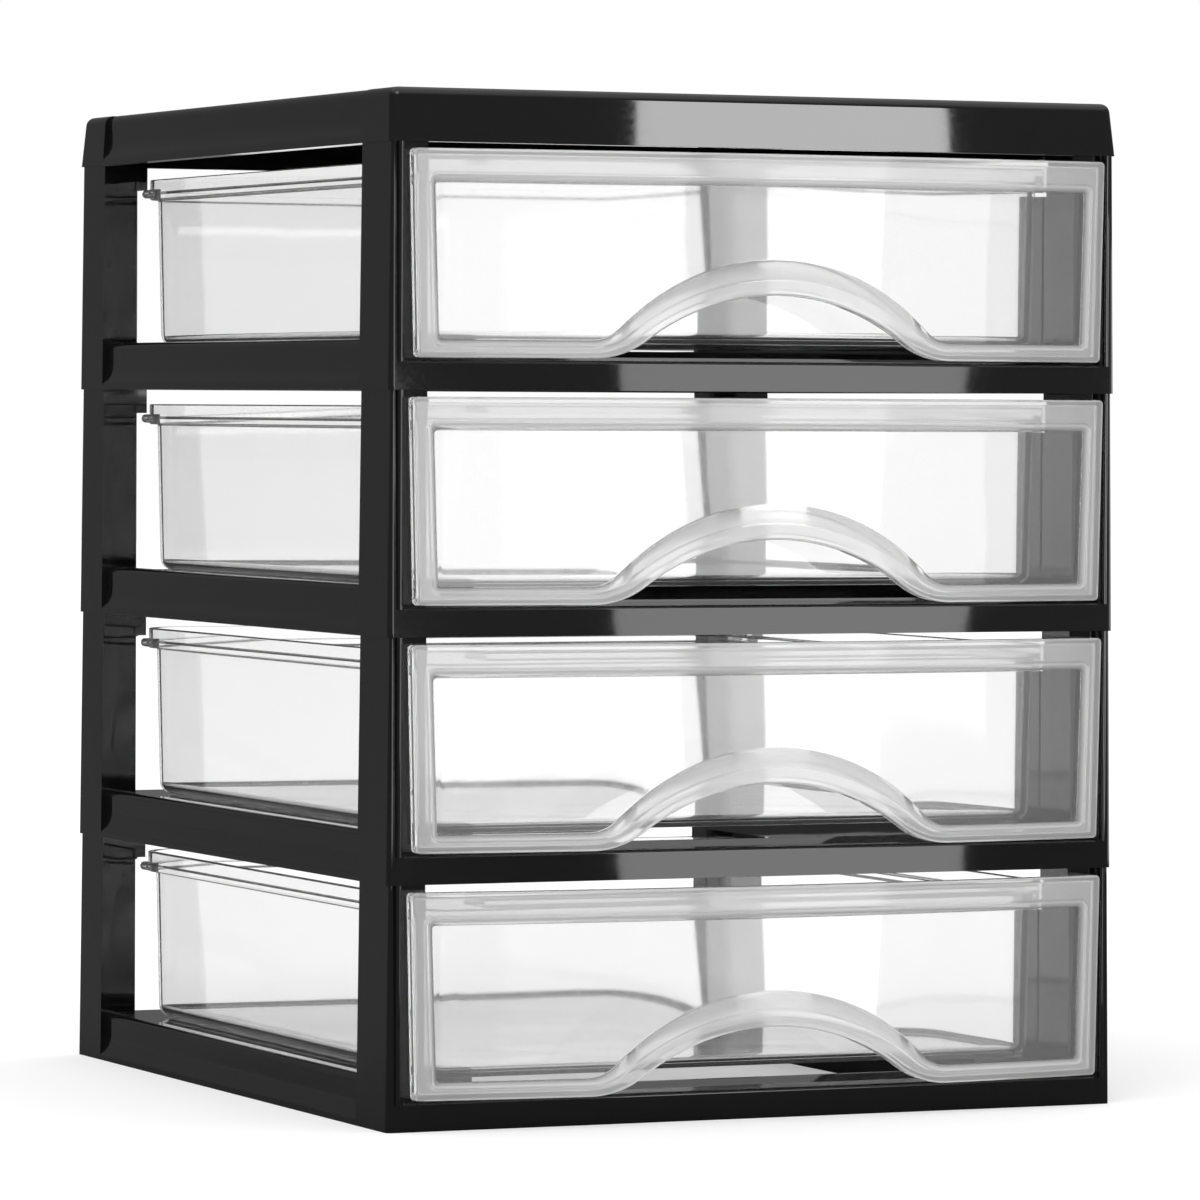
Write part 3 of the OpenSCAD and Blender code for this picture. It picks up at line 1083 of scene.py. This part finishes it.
@dataclass(frozen=True)
class Studio:
    """A pale floor, a white room that the gloss mirrors in grey, and soft lamps."""

    white: float = 1.0
    lit: float = 1.0
    mirrored_back: float = 0.16
    mirrored_front: float = 0.25
    mirrored_top: float = 0.8
    front_to_back: Span = (-0.5, 0.5)
    side_to_top: Span = (0.45, 0.8)
    floor_colour: Colour = (0.8, 0.8, 0.8)
    floor_size: float = 12.0
    floor_glow: float = 0.3
    floor_mirrored: float = 0.2
    lamps: tuple[Lamp, ...] = (
        Lamp("lower_box", (0.1387, -0.3655, 0.0975), (0.106, 0.1335, 0.0975), (0.1013, 0.295), 4.1),
        Lamp("upper_box", (0.1396, -0.3655, 0.2725), (0.1069, 0.1335, 0.2725), (0.09, 0.055), 11.0),
        Lamp("left_box", (0.19, -1.6, 0.13), (0.19, 0.0, 0.13), (0.67, 0.34), 3.3),
        Lamp("right_box", (1.07, -1.6, 0.13), (0.0, 0.0, 0.13), (0.26, 0.34), 1.6),
        Lamp("side_box", (1.1, -0.25, 0.11), (0.0, -0.1, 0.11), (0.9, 0.25), 3.0),
        Lamp("key_box", (-0.9, -1.3, 1.7), (0.0, 0.0, 0.1), (1.2, 1.2), 2.2, lights_matt=True),
    )

    def world(self) -> None:
        """Lights the room.

        The camera, and what is seen through clear walls, meet white. Diffuse light is even. Gloss
        mirrors a grey room, a little darker behind, that is bright overhead.
        """
        world = bpy.data.worlds.new("white_room")
        bpy.context.scene.world = world
        world.use_nodes = True
        tree = world.node_tree
        tree.nodes.clear()
        output = tree.nodes.new("ShaderNodeOutputWorld")
        where = tree.nodes.new("ShaderNodeTexCoord")
        parts = tree.nodes.new("ShaderNodeSeparateXYZ")
        tree.links.new(where.outputs["Generated"], parts.inputs["Vector"])
        greys = (self.mirrored_front, self.mirrored_back)
        behind = spread(tree, parts.outputs["Y"], self.front_to_back, greys)
        above = spread(tree, parts.outputs["Z"], self.side_to_top, (0.0, self.mirrored_top))
        mirrored = calculated(tree, "ADD", behind, above)
        ray = tree.nodes.new("ShaderNodeLightPath")
        camera, through = ray.outputs["Is Camera Ray"], ray.outputs["Is Transmission Ray"]
        seen = calculated(tree, "MAXIMUM", camera, through)
        shades = []
        for strength in (self.white, self.lit, mirrored):
            shade = tree.nodes.new("ShaderNodeBackground")
            set_sockets(shade, Color=WHITE)
            fill_socket(tree, shade.inputs["Strength"], strength)
            shades.append(shade.outputs["Background"])
        white, even, gloss = shades
        lights = mixed(tree, ray.outputs["Is Glossy Ray"], even, gloss)
        tree.links.new(mixed(tree, seen, lights, white), output.inputs["Surface"])

    def floor(self) -> None:
        """Lays the floor: matt and pale, lifted to white for the camera, so that it keeps its shadow.

        Gloss mirrors it darker, unless the light has gone through a clear wall on its way.
        """
        half = self.floor_size / 2
        corners = [(-half, -half, 0), (half, -half, 0), (half, half, 0), (-half, half, 0)]
        mesh = bpy.data.meshes.new("floor")
        mesh.from_pydata(corners, [], [(0, 1, 2, 3)])
        floor = bpy.data.objects.new("floor", mesh)
        bpy.context.scene.collection.objects.link(floor)
        material, tree = new_material("floor_white")
        ray = tree.nodes.new("ShaderNodeLightPath")
        through = ray.outputs["Is Transmission Ray"]
        pale = plain(tree, "ShaderNodeBsdfDiffuse", self.floor_colour)
        darker = tuple(value * self.floor_mirrored for value in self.floor_colour)
        dark = plain(tree, "ShaderNodeBsdfDiffuse", darker)
        glossy = calculated(tree, "SUBTRACT", ray.outputs["Is Glossy Ray"], through)
        glossy.node.use_clamp = True
        glow = tree.nodes.new("ShaderNodeEmission")
        seen = calculated(tree, "MAXIMUM", ray.outputs["Is Camera Ray"], through)
        tree.links.new(calculated(tree, "MULTIPLY", seen, self.floor_glow), glow.inputs["Strength"])
        both = tree.nodes.new("ShaderNodeAddShader")
        tree.links.new(mixed(tree, glossy, pale, dark), both.inputs[0])
        tree.links.new(glow.outputs["Emission"], both.inputs[1])
        tree.links.new(both.outputs["Shader"], tree.nodes["Material Output"].inputs["Surface"])
        mesh.materials.append(material)

    def build(self) -> None:
        """Sets up the whole studio."""
        self.world()
        self.floor()
        for lamp in self.lamps:
            lamp.build()


# ---------------------------------------------------------------------------------------------
# The whole unit
# ---------------------------------------------------------------------------------------------


@dataclass
class MiniDrawers:
    """The whole unit: a cover and four tiers with a drawer each."""

    tiers: int = 4
    guides: tuple[Span, ...] = ((-81.6, -80.0), (80.0, 81.6))
    beads: Pair = (-87.5, 87.5)

    def build(self) -> None:
        """Builds every moulding and drawer in its place."""
        BlackPlastic().material()
        ClearPlastic().material()
        BlackMoulding("top_cover").build()
        for index in range(1, self.tiers + 1):
            tier = f"tier_frame_{index}"
            low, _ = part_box(tier)
            BlackMoulding(tier, guides=self.guides, beads=self.beads).build()
            ClearDrawer(f"drawer_{index}", base=low[2] / MM, front_plane=low[1] / MM).build()


def set_scene() -> None:
    """Sets the view transform, and enough bounces for light to cross every clear wall."""
    scene = bpy.context.scene
    scene.view_settings.view_transform = "Standard"
    scene.cycles.transparent_max_bounces = CLEAR_WALLS
    scene.cycles.max_bounces = BOUNCES
    scene.cycles.transmission_bounces = BOUNCES


def main() -> None:
    """Builds the scene."""
    logging.basicConfig(level=logging.INFO, format="%(name)s: %(message)s")
    set_scene()
    Viewpoint().build()
    Studio().build()
    MiniDrawers().build()


if __name__ == "__main__":
    main()
